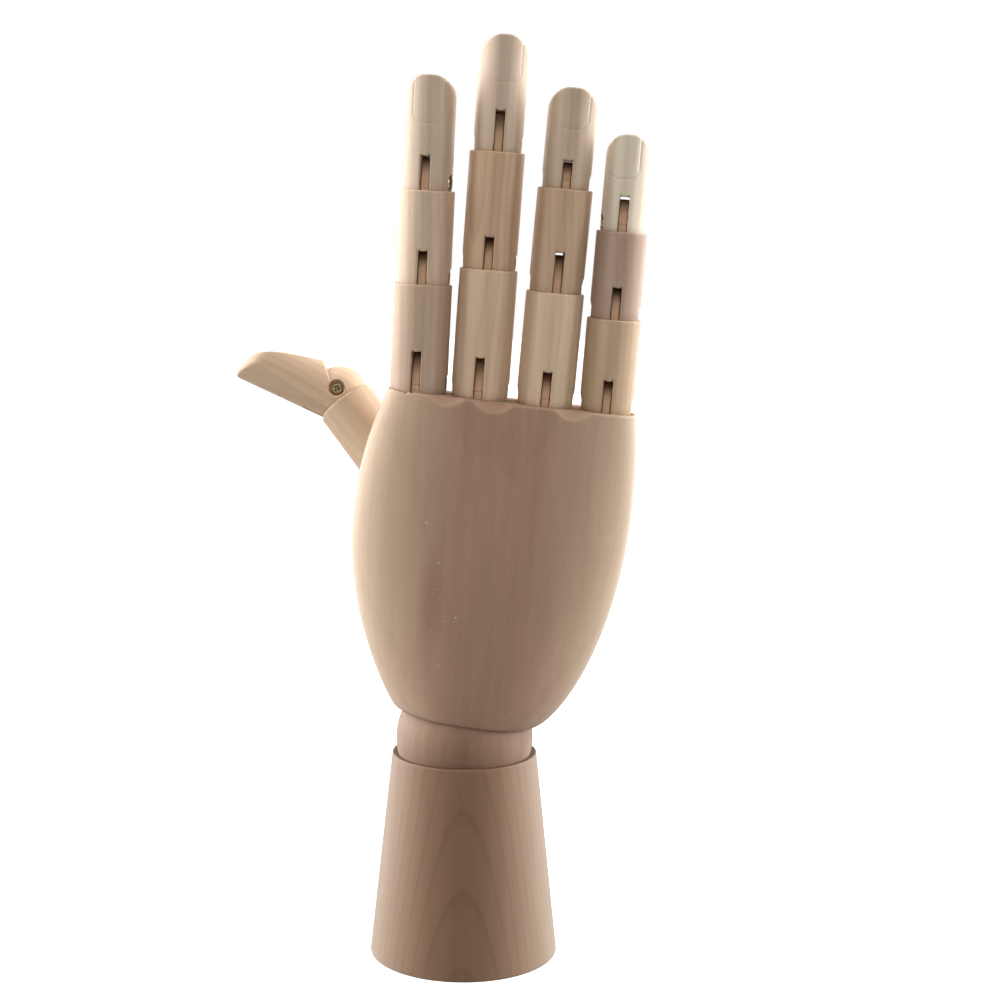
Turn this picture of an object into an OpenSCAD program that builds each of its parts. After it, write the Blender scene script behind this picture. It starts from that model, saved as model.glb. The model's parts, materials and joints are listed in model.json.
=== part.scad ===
// Jointed wooden artist's hand on a turned base.
// Millimetres, +Z up, origin at the middle of the base's underside.
// The back of the hand faces -Y, the palm faces +Y, and the little finger is on the +X side.

/* [Base] */
// Height of the turned base
base_h = 68; // [62:1:76]
// Radius of the base where it stands
base_r = 31; // [28:0.5:36]
// Radius of the base at its rim
rim_r = 23.7; // [23.5:0.1:25]

/* [Wrist] */
// Radius of the wrist ball
ball_r = 22.4; // [21.6:0.1:22.4]
// Height of the ball's centre above the base's rim
ball_rise = 4.7; // [4:0.1:6]
// Lean of the hand towards the little finger, in degrees
palm_lean = 6; // [0:1:8]

/* [Palm] */
// Height of the palm's lower edge above the ball's centre
palm_lo = 7; // [7:0.5:9]
// Height of the palm's knuckle face above the ball's centre
palm_hi = 112; // [108:0.2:118]
// Radius of the gouge that cuts the scallops between the knuckles
scallop_r = 12; // [9:0.5:14]
// Depth of each scallop
scallop_depth = 2.2; // [0:0.1:2.6]

/* [Fingers] */
// Radius of the three longer fingers' first segments
finger_r = 9.25; // [8.8:0.05:9.3]
// Radius of the little finger's first segment
little_r = 8.6; // [8:0.05:8.7]
// Length of the index finger's first segment
index_len = 34; // [32:0.2:38]
// Length of the middle finger's first segment
middle_len = 40.9; // [38:0.1:44]
// Length of the ring finger's first segment
ring_len = 36; // [34:0.2:40]
// Length of the little finger's first segment
little_len = 29.7; // [29:0.1:34]

/* [Thumb] */
// Radius of the thumb's long segment
thumb_r = 9.7; // [9.2:0.05:10]
// Distance between the thumb's two pivots
thumb_len = 38; // [36:0.5:42]
// How far the thumb's tip is bent back at rest, in degrees
thumb_back = 28; // [20:1:28]

/* [Joints] */
// Width of the slot that a joint's tongue sits in
slot_w = 3; // [2.9:0.05:3.2]
// Thickness of a joint's tongue
tongue_t = 2.6; // [2.4:0.05:2.7]
// Gap between a knuckle and its socket
socket_gap = 0.2; // [0.15:0.05:0.3]
// Radius of a joint screw's shank
screw_r = 1; // [0.8:0.05:1.1]

/* [Hidden] */
$fn = 48;
FINGERS = ["index", "middle", "ring", "little"];
JOINTS = ["knuckle", "middle", "end"];
SEGMENTS = ["first_segment", "middle_segment", "tip"];

// Wood colours: one piece of timber differs from the next
palm_tone = "#a98f78";
base_tone = "#a58667";
ball_tone = "#9c7f66";
tongue_tone = "#b09a80";
spring_tone = "#9fa3a6";
screw_tone = "#b9a67a";
finger_tones = [["#ab9080", "#b7a184", "#bba88c"], ["#b49b7c", "#a58763", "#bda78b"],
                ["#b69d80", "#a38a78", "#b9a489"], ["#b89c78", "#97806f", "#c9b89c"]];
thumb_tones = ["#bc9c78", "#b89c7c"];

// Each finger in the palm's own frame: place along the knuckles, and lean in degrees
finger_x = [-27.4, -7.6, 13.4, 33.2];
finger_lean = [-3.5, -2.2, -1.1, -1.7];
// Radius and length of each finger's three segments, from the knuckle to the tip
segment_r = [for (r = [finger_r, finger_r, finger_r, little_r]) [r, r - 0.5, r - 1.3]];
segment_len = [[index_len, 29.4, 36], [middle_len, 36.8, 36.2],
               [ring_len, 32.6, 31.6], [little_len, 27.6, 30.5]];
// The joints are cut by hand: each is turned a little, and its slot ends this far beyond the pivot
joint_turn = [[-5, -2, -6], [-4, -3, 1], [-1, 1, -1], [-3, -2, -4]];
slot_top = [[10.4, 8, 8.2], [10.6, 7.8, 10.2], [8.4, 10.2, 6.2], [7.8, 7.6, 8.6]];
thumb_slot_top = 8;
// Which side each screw's head is on: 1 is the little finger's side
screw_side = [[1, 1, 1], [1, 1, 1], [1, 1, 1], [1, 1, -1]];

// A pivot sits this far above the flat face below it
rise = 2.4;
thumb_rise = 3.8;
// A tongue ends just short of its slot, and its edges stay inside the segment's surface
tongue_end_gap = 0.8;
tongue_inset = 1.2;
mortise_depth = 8;
// The palm side of a knuckle is cut away on a 45 degree plane this far from the pivot
notch_offset = 1.85;
counterbore_r = 2.7;
counterbore_depth = 2.4;
head_r = 2;
head_h = 1.4;
nut_h = 1.6;
// Across the flats this nut measures 4
nut_r = 2.31;
running_gap = 0.05;
overcut = 1;

// The thumb's root pivot in the palm's frame, and how the thumb is turned there
thumb_root = [-28.3, 11, 79.6];
thumb_turn = [-16.9, -44.5, 0];
thumb_twist = 10;
thumb_tip_r = thumb_r - 0.4;
thumb_tip_len = 34;
thenar_r = thumb_r + 1;
thenar_len = 26;
hollow_gap = 0.6;

// The scallops' places along the knuckles
scallop_x = [-18.8, -3.2, 23];

// The wrist's spring runs through the base, the ball and the palm
ball_z = base_h + ball_rise;
spring_bore_r = 6.5;
spring_r = 3;
wire_r = 0.5;
spring_pitch = 3.4;
spring_split = 1.2;
ball_hole_r = 4.6;
ball_flare = 24;
recess_r = 9;
recess_depth = 7;
disc_r = 8.6;
disc_h = 3;
disc_drop = 0.2;
eye_z = 13;
cross_pin_z = 38;
cross_pin_r = 1.5;
cross_pin_start = -9;
cross_pin_len = 30.2;

// Half widths of the palm from its lower edge to the knuckles, as Bezier control values
palm_left = [22.4, 30, 46, 50, 36.8];
palm_right = [22.6, 35.7, 45.2, 49, 43];
palm_back = [20.8, 24, 20, 17, 12];
palm_front = [20.8, 25, 24, 15, 12];
// The palm widens quickly just above the ball, so the sections are closer there
palm_warp = 0.7;
palm_sections = 20;
palm_sides = 40;

function choose(n, k) = k == 0 ? 1 : choose(n - 1, k - 1) * n / k;
function bezier(c, t) =
  let (n = len(c) - 1)
  [for (i = [0:n]) choose(n, i) * pow(t, i) * pow(1 - t, n - i)] * c;
function signed_pow(v, e) = sign(v) * pow(abs(v), e);

// One outline of the palm: a rounded rectangle with its own half width on each side
function palm_ring(t) =
  let (left = bezier(palm_left, t), right = bezier(palm_right, t),
       back = bezier(palm_back, t), front = bezier(palm_front, t),
       squareness = 2 / (2.15 + 0.95 * pow(t, 3)),
       z = palm_lo + (palm_hi - palm_lo) * pow(t, 1 / palm_warp))
  [for (i = [0:palm_sides - 1])
    let (a = 360 * i / palm_sides)
    [(right - left) / 2 + (right + left) / 2 * signed_pow(cos(a), squareness),
     (sin(a) < 0 ? back : front) * signed_pow(sin(a), squareness), z]];

// Skin over a stack of rings that all have the same number of points, with flat ends
module skin(rings) {
  n = len(rings[0]);
  last = len(rings) - 1;
  points = [for (ring = rings) for (p = ring) p];
  sides = [for (k = [0:last - 1]) for (i = [0:n - 1])
    let (a = k * n + i, b = k * n + (i + 1) % n)
    each [[a, a + n, b], [b, a + n, b + n]]];
  floor_face = [for (i = [0:n - 1]) i];
  top_face = [for (i = [n - 1:-1:0]) last * n + i];
  polyhedron(points, concat(sides, [floor_face, top_face]), convexity = 6);
}

// Frames: everything inside is drawn about the named pivot
module at_ball() {
  translate([0, 0, ball_z]) children();
}

module at_palm() {
  at_ball() rotate([0, palm_lean, 0]) children();
}

// Joint j of finger i, counted from the knuckle, with its own turn about the finger
module at_joint(i, j) {
  along = [0, segment_len[i][0], segment_len[i][0] + segment_len[i][1]][j];
  at_palm() translate([finger_x[i], 0, palm_hi + rise]) rotate([0, finger_lean[i], 0])
    translate([0, 0, along]) rotate([0, 0, joint_turn[i][j]]) children();
}

module in_thumb_root() {
  translate(thumb_root) rotate(thumb_turn) rotate([0, 0, thumb_twist - 90]) children();
}

module at_thumb_root() {
  at_palm() in_thumb_root() children();
}

module at_thumb_tip() {
  at_thumb_root() translate([0, 0, thumb_len]) rotate([thumb_back, 0, 0]) children();
}

function tongue_half(r) = r - tongue_inset;

// The part of a tongue below its pivot, which is glued into a mortise of the same size
module tongue_shank(r) {
  translate([-tongue_t / 2, -tongue_half(r), -r - mortise_depth])
    cube([tongue_t, 2 * tongue_half(r), r + mortise_depth]);
}

// A closed socket for the next knuckle, with the mortise that holds its tongue
module socket(r) {
  sphere(r + socket_gap);
  tongue_shank(r);
}

// The fork at a segment's lower end: knuckle, notch, slot, screw hole and counterbores
module fork(r, length, slot) {
  difference() {
    union() {
      difference() {
        cylinder(h = length, r = r);
        translate([0, 0, notch_offset]) rotate([45, 0, 0])
          translate([-2 * r, -3 * r, -4 * r]) cube([4 * r, 6 * r, 4 * r]);
      }
      sphere(r);
    }
    translate([-slot_w / 2, -r - overcut, -r - overcut])
      cube([slot_w, 2 * (r + overcut), r + overcut + slot]);
    rotate([0, 90, 0]) cylinder(h = 2 * r + 2, r = screw_r + running_gap, center = true);
    for (side = [-1, 1])
      rotate([0, 90 * side, 0]) translate([0, 0, r - counterbore_depth])
        cylinder(h = counterbore_depth + overcut, r = counterbore_r);
  }
}

// A segment with a fork below and a socket for the next knuckle above
module segment(r, next_r, length, slot, next_rise, next_turn) {
  difference() {
    fork(r, length - next_rise, slot);
    translate([0, 0, length]) rotate([0, 0, next_turn]) socket(next_r);
  }
}

// Thickness of a fingertip, as a share of its full thickness, at a share t of its length
function pad_share(t) =
  (1 - 0.5 * pow(max(0, t - 0.3), 1.3)) * sqrt(max(0, 1 - pow(t, 8)));

// A fingertip: full at the back, sloping to a thin edge on the pad side, round seen from the back
module tip_segment(r, length, slot) {
  steps = 24;
  pad = [for (k = [1:steps]) [-r + 2 * r * pad_share(k / steps), length * k / steps]];
  below = -r - overcut;
  intersection() {
    fork(r, length, slot);
    rotate([90, 0, 90]) linear_extrude(height = 4 * r, center = true)
      polygon(concat([[below, below], [r + overcut, below], [r + overcut, 1]], pad, [[below, length]]));
    union() {
      translate([0, 0, (length - r) / 2 - r]) cube([4 * r, 4 * r, length + r], center = true);
      translate([0, 0, length - r]) rotate([90, 0, 0]) cylinder(h = 4 * r, r = r, center = true);
    }
  }
}

// The glued wood tongue that the fork turns on, with its round end about the pivot
module tongue(r, slot) {
  difference() {
    union() {
      intersection() {
        rotate([0, 90, 0]) cylinder(h = tongue_t, r = slot - tongue_end_gap, center = true);
        cube([4 * r, 2 * tongue_half(r), 4 * r], center = true);
      }
      tongue_shank(r);
    }
    rotate([0, 90, 0]) cylinder(h = tongue_t + 2, r = screw_r + running_gap, center = true);
  }
}

// The pan-head screw and its nut that a joint turns on
module screw_set(r, side) {
  seat = r - counterbore_depth;
  rotate([0, 90 * side, 0]) {
    difference() {
      union() {
        translate([0, 0, -seat - nut_h]) cylinder(h = 2 * seat + nut_h, r = screw_r);
        translate([0, 0, seat]) cylinder(h = head_h, r1 = head_r, r2 = head_r - 0.4);
      }
      translate([0, 0, seat + head_h]) for (a = [0, 90])
        rotate([0, 0, a]) cube([2.2, 0.5, 1.4], center = true);
    }
    translate([0, 0, -seat - nut_h]) difference() {
      cylinder(h = nut_h, r = nut_r, $fn = 6);
      translate([0, 0, -overcut]) cylinder(h = nut_h + 2 * overcut, r = screw_r + running_gap);
    }
  }
}

// A coil of round wire about the Z axis, swept as one skin
module coil(z0, z1) {
  turns = round((z1 - z0) / spring_pitch);
  per_turn = 12;
  sides = 6;
  rings = [for (k = [0:turns * per_turn])
    let (a = 360 * k / per_turn, z = z0 + (z1 - z0) * k / (turns * per_turn))
    [for (j = [0:sides - 1])
      let (b = -360 * j / sides, reach = spring_r + wire_r * cos(b))
      [reach * cos(a), reach * sin(a), z + wire_r * sin(b)]]];
  skin(rings);
}

// A closed wire loop in the XZ plane, such as a spring's end loop or a screw eye
module wire_loop(r, thick) {
  rotate([90, 0, 0]) rotate_extrude() translate([r, 0]) circle(thick);
}

module base() {
  edge = 0.6;
  color(base_tone) difference() {
    rotate_extrude() polygon([[0, 0], [base_r - edge, 0], [base_r, edge],
                              [rim_r, base_h - edge / 2], [rim_r - edge / 2, base_h], [0, base_h]]);
    translate([0, 0, ball_z]) sphere(ball_r + socket_gap, $fn = 96);
    translate([0, 0, -overcut]) cylinder(h = base_h, r = spring_bore_r);
    translate([0, 0, -overcut]) cylinder(h = recess_depth + overcut, r = recess_r);
  }
}

module anchor_disc() {
  top = recess_depth - disc_drop;
  color(tongue_tone) translate([0, 0, top - disc_h]) difference() {
    cylinder(h = disc_h, r = disc_r);
    translate([0, 0, -overcut]) cylinder(h = disc_h + 2 * overcut, r = wire_r * 2);
  }
}

module anchor_eye() {
  foot = recess_depth - disc_drop - disc_h;
  eye_r = 2.4;
  color(spring_tone) {
    translate([0, 0, foot]) cylinder(h = eye_z - eye_r - foot + wire_r / 2, r = wire_r * 1.9);
    translate([0, 0, eye_z]) wire_loop(eye_r, wire_r * 1.2);
  }
}

module wrist_spring_lower() {
  loop_r = 2.2;
  start = eye_z + loop_r;
  color(spring_tone) {
    translate([0, 0, start]) rotate([0, 0, 90]) wire_loop(loop_r, wire_r);
    coil(start + loop_r + 1, ball_z - spring_split);
  }
}

module wrist_spring_upper() {
  loop_r = 2.6;
  color(spring_tone) at_palm() {
    coil(spring_split, cross_pin_z - loop_r - 1.2);
    translate([0, 0, cross_pin_z - loop_r + cross_pin_r + wire_r + 0.1]) wire_loop(loop_r, wire_r);
  }
}

module wrist_ball() {
  reach = ball_r + overcut;
  mouth = ball_hole_r + reach * tan(ball_flare);
  color(ball_tone) at_ball() difference() {
    sphere(ball_r, $fn = 96);
    rotate_extrude() polygon([[0, -reach], [mouth, -reach], [ball_hole_r, 0], [mouth, reach], [0, reach]]);
  }
}

// The cross pin is driven in from the palm side and stops short of the back of the hand
module cross_pin_shape(r, length) {
  translate([0, cross_pin_start, cross_pin_z]) rotate([-90, 0, 0]) cylinder(h = length, r = r);
}

module palm_cross_pin() {
  color(tongue_tone) at_palm() cross_pin_shape(cross_pin_r, cross_pin_len);
}

module scallops() {
  shift = (scallop_r - scallop_depth) / sqrt(2);
  edge_y = -palm_back[len(palm_back) - 1];
  for (x = scallop_x)
    translate([x, edge_y - shift, palm_hi + shift])
      rotate([135, 0, 0]) cylinder(h = 40, r = scallop_r, center = true);
}

// The room that the thumb sweeps, a flat hollow across the palm
module thumb_sweep() {
  reach = 70;
  translate([-reach, -reach, -rise]) cube([reach + thumb_r + hollow_gap, 2 * reach, reach]);
}

module palm() {
  color(palm_tone) at_palm() difference() {
    union() {
      difference() {
        skin([for (k = [0:palm_sections]) palm_ring(k / palm_sections)]);
        in_thumb_root() thumb_sweep();
      }
      in_thumb_root() translate([0, 0, -rise - thenar_len]) {
        cylinder(h = thenar_len, r = thenar_r);
        sphere(thenar_r);
      }
    }
    sphere(ball_r + socket_gap, $fn = 96);
    cylinder(h = cross_pin_z + 4, r = spring_bore_r);
    cross_pin_shape(cross_pin_r + running_gap, cross_pin_len + 4 * overcut);
    scallops();
    for (i = [0:3])
      translate([finger_x[i], 0, palm_hi + rise])
        rotate([0, finger_lean[i], 0]) rotate([0, 0, joint_turn[i][0]]) socket(segment_r[i][0]);
    in_thumb_root() socket(thumb_r);
  }
}

module finger_tongue(i, j) {
  color(tongue_tone) at_joint(i, j) tongue(segment_r[i][j], slot_top[i][j]);
}

module finger_screw(i, j) {
  color(screw_tone) at_joint(i, j) screw_set(segment_r[i][j], screw_side[i][j]);
}

module finger_segment(i, j) {
  color(finger_tones[i][j]) at_joint(i, j)
    if (j < 2)
      segment(segment_r[i][j], segment_r[i][j + 1], segment_len[i][j], slot_top[i][j], rise,
              joint_turn[i][j + 1] - joint_turn[i][j]);
    else
      tip_segment(segment_r[i][j], segment_len[i][j] - rise, slot_top[i][j]);
}

module thumb_root_tongue() {
  color(tongue_tone) at_thumb_root() tongue(thumb_r, thumb_slot_top);
}

module thumb_root_screw() {
  color(screw_tone) at_thumb_root() screw_set(thumb_r, 1);
}

module thumb_long_segment() {
  color(thumb_tones[0]) at_thumb_root()
    segment(thumb_r, thumb_tip_r, thumb_len, thumb_slot_top, thumb_rise, 0);
}

module thumb_tip_tongue() {
  color(tongue_tone) at_thumb_root() translate([0, 0, thumb_len]) tongue(thumb_tip_r, thumb_slot_top);
}

module thumb_tip_screw() {
  color(screw_tone) at_thumb_tip() screw_set(thumb_tip_r, 1);
}

module thumb_tip() {
  color(thumb_tones[1]) at_thumb_tip() tip_segment(thumb_tip_r, thumb_tip_len, thumb_slot_top);
}

base();
anchor_disc();
anchor_eye();
wrist_spring_lower();
wrist_ball();
palm();
wrist_spring_upper();
palm_cross_pin();
for (i = [0:3], j = [0:2]) {
  finger_tongue(i, j);
  finger_screw(i, j);
  finger_segment(i, j);
}
thumb_root_tongue();
thumb_root_screw();
thumb_long_segment();
thumb_tip_tongue();
thumb_tip_screw();
thumb_tip();
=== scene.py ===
# %% [markdown]
# # A jointed wooden artist's hand
#
# A turned base carries a wooden ball, the ball carries a carved palm, and five jointed fingers
# stand on the palm. Each joint is a round knuckle with a saw slot, a glued wooden tongue in that
# slot, and one small screw through both. This lesson builds every piece as its own closed surface,
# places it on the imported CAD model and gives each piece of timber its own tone.

import json
import math

import bpy
import numpy as np
from mathutils import Matrix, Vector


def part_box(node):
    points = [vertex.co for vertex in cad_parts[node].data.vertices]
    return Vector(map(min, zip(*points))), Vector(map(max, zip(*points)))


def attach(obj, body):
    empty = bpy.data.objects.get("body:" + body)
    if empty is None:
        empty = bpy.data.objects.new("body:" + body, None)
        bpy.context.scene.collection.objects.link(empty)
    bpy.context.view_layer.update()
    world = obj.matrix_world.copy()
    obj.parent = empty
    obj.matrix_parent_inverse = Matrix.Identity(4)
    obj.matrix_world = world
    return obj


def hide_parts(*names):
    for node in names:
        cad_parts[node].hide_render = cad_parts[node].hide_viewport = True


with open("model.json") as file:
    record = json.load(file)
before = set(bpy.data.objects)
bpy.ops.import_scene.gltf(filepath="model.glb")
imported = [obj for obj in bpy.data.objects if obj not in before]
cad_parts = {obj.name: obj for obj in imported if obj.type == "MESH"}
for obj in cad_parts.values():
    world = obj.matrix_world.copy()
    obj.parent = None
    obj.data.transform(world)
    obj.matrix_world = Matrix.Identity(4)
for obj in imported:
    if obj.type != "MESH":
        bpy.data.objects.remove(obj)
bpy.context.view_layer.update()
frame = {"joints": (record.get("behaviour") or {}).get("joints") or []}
joints = {joint["name"]: joint for joint in frame["joints"]}
MM = 0.001
scene = bpy.context.scene

# %% [markdown]
# ## Places
#
# Every segment is drawn in its own frame, in millimetres: the hinge axis is x, the segment's length
# is z, the pivot is the origin, and the back of the hand is on the -y side. The frames come from
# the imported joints, so a piece always sits where the CAD says.


# %% Frames of the joints
def unit(v):
    """A vector divided by its length."""
    return np.asarray(v, float) / np.linalg.norm(v)


def pivot(name):
    """The joint's pivot in millimetres."""
    return np.array(joints[name]["pos_m"], float) / MM


def place(origin, x_axis, z_axis):
    """A frame as (origin, matrix whose columns are its axes), with x made square to z."""
    z = unit(z_axis)
    x = unit(np.asarray(x_axis, float) - np.dot(x_axis, z) * z)
    return np.asarray(origin, float), np.stack([x, np.cross(z, x), z], 1)


def to_world(points, at):
    """Each point as a sum of the frame's axes, plus the frame's origin."""
    return points @ at[1].T + at[0]


def to_local(points, at):
    """The reverse: how far each point lies from the origin along each axis."""
    return (points - at[0]) @ at[1]


ball_centre = pivot("wrist_bend")
across = unit(pivot("little_knuckle") - pivot("index_knuckle"))
palm_at = place(ball_centre, across, np.cross(across, [0, 1, 0]))

FINGERS = ["index", "middle", "ring", "little"]
places, spans = {}, {}
for finger in FINGERS:
    names = [f"{finger}_{j}" for j in ("knuckle", "middle_joint", "end_joint")]
    along = pivot(names[2]) - pivot(names[0])
    for name in names:
        places[name] = place(pivot(name), -np.array(joints[name]["axis"]), along)
    spans[finger] = [np.linalg.norm(pivot(names[k + 1]) - pivot(names[k])) for k in (0, 1)]

thumb_along = pivot("thumb_end_joint") - pivot("thumb_root")
thumb_axis = np.array(joints["thumb_root"]["axis"], float)
places["thumb_root"] = place(pivot("thumb_root"), thumb_axis, thumb_along)
bend = math.radians(28)  # the angle at rest between the thumb's two segments
root_axes = places["thumb_root"][1]
places["thumb_end_joint"] = place(
    pivot("thumb_end_joint"), thumb_axis, root_axes @ [0, -math.sin(bend), math.cos(bend)]
)
print("palm lean in degrees", round(math.degrees(math.acos(palm_at[1][2, 2])), 2))
print("segment lengths in mm", {k: np.round(v, 1).tolist() for k, v in spans.items()})

# %% [markdown]
# ## Cut wood as a field
#
# The slotted segments and the palm are cut by saw, drill and gouge from many sides. No single
# sheet of parameters can follow that, and boolean modifiers would leave hard edges and thin
# slivers. These pieces are a field instead: a function that is negative inside the wood. Cuts are
# then a maximum of two fields, joins are a minimum, and a soft maximum eases the edge between them.
# The surface is found on a grid and each vertex is then slid onto the field's zero, so it is as
# exact as the function.


# %% From a field to a mesh
def ease(a, b, k):
    """Soft maximum of two fields: max(a, b) plus a quarter of k at the edge, fading out k away."""
    h = np.maximum(k - np.abs(a - b), 0) / k
    return np.maximum(a, b) + h * h * k / 4


def gradient(field, points, step=0.02):
    """Slope along each axis: the field a step ahead less a step behind, over both steps."""
    g = np.empty_like(points)
    for k in range(3):
        d = np.zeros(3)
        d[k] = step
        g[:, k] = (field(points + d) - field(points - d)) / (2 * step)
    return g


def net(field, lo, hi, cell):
    """Closed mesh of field = 0 inside the box lo..hi. One vertex lies in each grid cell that the
    surface crosses, at the mean of the crossings on the cell's edges, and each grid edge that the
    surface crosses gives one quad through the four cells round it. Newton steps along the gradient
    then put the vertices on the surface."""
    lo = np.array(lo, float) - 2 * cell
    shape = np.ceil((np.array(hi, float) + 2 * cell - lo) / cell).astype(int) + 1
    axes = [lo[k] + cell * np.arange(shape[k]) for k in range(3)]
    grid = np.stack(np.meshgrid(*axes, indexing="ij"), -1).reshape(-1, 3)
    blocks = np.array_split(grid, 1 + len(grid) // 400000)
    values = np.concatenate([field(block) for block in blocks]).reshape(shape)
    inside = values < 0
    corner = np.array([(i, j, k) for i in (0, 1) for j in (0, 1) for k in (0, 1)])
    ends = [slice(0, -1), slice(1, None)]
    count = sum(inside[ends[i], ends[j], ends[k]].astype(np.int8) for i, j, k in corner)
    mixed = (count > 0) & (count < 8)
    index = np.full(mixed.shape, -1)
    index[mixed] = np.arange(mixed.sum())
    cells = np.argwhere(mixed)
    v = values[tuple((cells[:, None] + corner).transpose(2, 0, 1))]
    total, hits = np.zeros((len(cells), 3)), np.zeros(len(cells))
    for a in range(8):
        for b in range(a + 1, 8):
            if np.abs(corner[a] - corner[b]).sum() == 1:
                crossed = (v[:, a] < 0) != (v[:, b] < 0)
                t = v[:, a] / np.where(crossed, v[:, a] - v[:, b], 1)
                total += crossed[:, None] * (corner[a] + t[:, None] * (corner[b] - corner[a]))
                hits += crossed
    points = lo + cell * (cells + total / hits[:, None])
    quads = []
    for d in range(3):
        near, far = [slice(None)] * 3, [slice(None)] * 3
        near[d], far[d] = ends
        lower = inside[tuple(near)]
        edge = np.argwhere(lower != inside[tuple(far)])
        u, w = np.eye(3, dtype=int)[(d + 1) % 3], np.eye(3, dtype=int)[(d + 2) % 3]
        q = np.stack([index[tuple((edge - s).T)] for s in (u + w, w, 0 * u, u)], 1)
        out = lower[tuple(edge.T)]
        quads.append(np.where(out[:, None], q, q[:, ::-1]))
    for _ in range(3):
        g = gradient(field, points)
        move = (field(points) / np.maximum((g * g).sum(1), 0.05))[:, None] * g
        size = np.linalg.norm(move, axis=1, keepdims=True)
        points = points - move * np.minimum(1, 0.5 * cell / np.maximum(size, 1e-9))
    return points, np.concatenate(quads)


# A unit ball is a quick test: its vertices should all lie 1 from the middle
points, faces = net(lambda p: np.linalg.norm(p, axis=1) - 1, (-1,) * 3, (1,) * 3, 0.2)
radii = np.linalg.norm(points, axis=1)
print(f"test ball: {len(points)} vertices, radius {radii.min():.4f} to {radii.max():.4f}")

# %% [markdown]
# ## Turned wood and bent wire
#
# The base and the ball came off a lathe, so a profile spun about an axis is the whole shape, and a
# field would only be slower. Wire is a circle moved along a path. A curve object with a bevel could
# do that too, but a mesh made here carries its place in the material like every other piece.

# %% Profiles, spinning and sweeping
def wrap_quads(rows, columns, closed_rows):
    """Quads of a grid whose columns close on themselves, and whose rows may."""
    last = rows if closed_rows else rows - 1
    k, i = np.meshgrid(np.arange(last), np.arange(columns), indexing="ij")
    k2, i2 = (k + 1) % rows, (i + 1) % columns
    q = np.stack([k * columns + i, k * columns + i2, k2 * columns + i2, k2 * columns + i], -1)
    return q.reshape(-1, 4)


def soften(path, radius, steps=5):
    """A closed path (N, 2) whose corners are replaced by short curves that start radius away."""
    path = np.asarray(path, float)
    before, after = np.roll(path, 1, 0) - path, np.roll(path, -1, 0) - path
    lengths = [np.linalg.norm(side, axis=1, keepdims=True) for side in (before, after)]
    start, end = (
        path + side / length * np.minimum(radius, 0.45 * length)
        for side, length in zip((before, after), lengths)
    )
    t = np.linspace(0, 1, steps)[None, :, None]
    curve = (1 - t) ** 2 * start[:, None] + 2 * t * (1 - t) * path[:, None] + t**2 * end[:, None]
    return curve.reshape(-1, 2)


def refine(path, step):
    """Adds points along a closed path so that none are further apart than about step."""
    gaps = np.linalg.norm(np.roll(path, -1, 0) - path, axis=1)
    parts = [
        a + (b - a) * np.linspace(0, 1, max(1, round(gap / step)), endpoint=False)[:, None]
        for a, b, gap in zip(path, np.roll(path, -1, 0), gaps)
        if gap > 1e-6
    ]
    return np.concatenate(parts)


def revolve(path, around=160):
    """A closed profile of (radius, height) points spun about z: x = r cos a, y = r sin a."""
    a = 2 * np.pi * np.arange(around) / around
    r, z = path[:, :1], path[:, 1:]
    points = np.stack([r * np.cos(a), r * np.sin(a), z + 0 * a], -1).reshape(-1, 3)
    quads = wrap_quads(len(path), around, True)
    area = np.sum(path[:, 0] * np.roll(path[:, 1], -1) - np.roll(path[:, 0], -1) * path[:, 1])
    return points, quads if area > 0 else quads[:, ::-1]


def tube(path, radius, sides=14):
    """A circle moved along a path, with its ends rounded off. The circle's frame is carried along
    by removing from the last side vector what lies along the new tangent."""
    tangent = np.gradient(path, axis=0)
    tangent /= np.linalg.norm(tangent, axis=1, keepdims=True)
    side = np.cross(tangent, [0.3, 0.2, 1.0])
    for k in range(1, len(path)):
        side[k] = side[k - 1] - np.dot(side[k - 1], tangent[k]) * tangent[k]
        side[k] /= np.linalg.norm(side[k])
    side[0] /= np.linalg.norm(side[0])
    other = np.cross(tangent, side)
    cap = np.linspace(0, np.pi / 2, 5)
    ends = [(0, -radius * np.cos(c), radius * np.sin(c)) for c in cap[:-1]]
    rings = ends + [(k, 0, radius) for k in range(len(path))]
    rings += [(len(path) - 1, radius * np.cos(c), radius * np.sin(c)) for c in cap[:-1][::-1]]
    row = np.array([ring[0] for ring in rings])
    shift = np.array([ring[1] for ring in rings])[:, None]
    reach = np.maximum(np.array([ring[2] for ring in rings]), radius * 0.02)[:, None, None]
    b = 2 * np.pi * np.arange(sides) / sides
    circle = side[row][:, None] * np.cos(b)[:, None] + other[row][:, None] * np.sin(b)[:, None]
    points = (path[row] + tangent[row] * shift)[:, None] + reach * circle
    quads = wrap_quads(len(rings), sides, False)
    fans = [list(range(sides))[::-1], list(range((len(rings) - 1) * sides, len(rings) * sides))]
    return points.reshape(-1, 3), quads.tolist() + fans


def wobble(v, seed, rate=1.0):
    """A smooth wave between -1 and 1: three sines, each weaker the faster it goes."""
    waves = [(1.0, 0.0), (2.3, 1.7), (4.1, 4.2)]
    return sum(np.sin(rate * f * v + seed * 2.4 + s) / (1 + f) for f, s in waves)


print("spinning and sweeping are ready")

# %% [markdown]
# ## Putting a piece in the scene
#
# Each surface becomes one mesh at the origin with its place in its vertices. It also keeps where
# each point lies in the timber, because the figure of wood belongs to the log and not to the piece.

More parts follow.
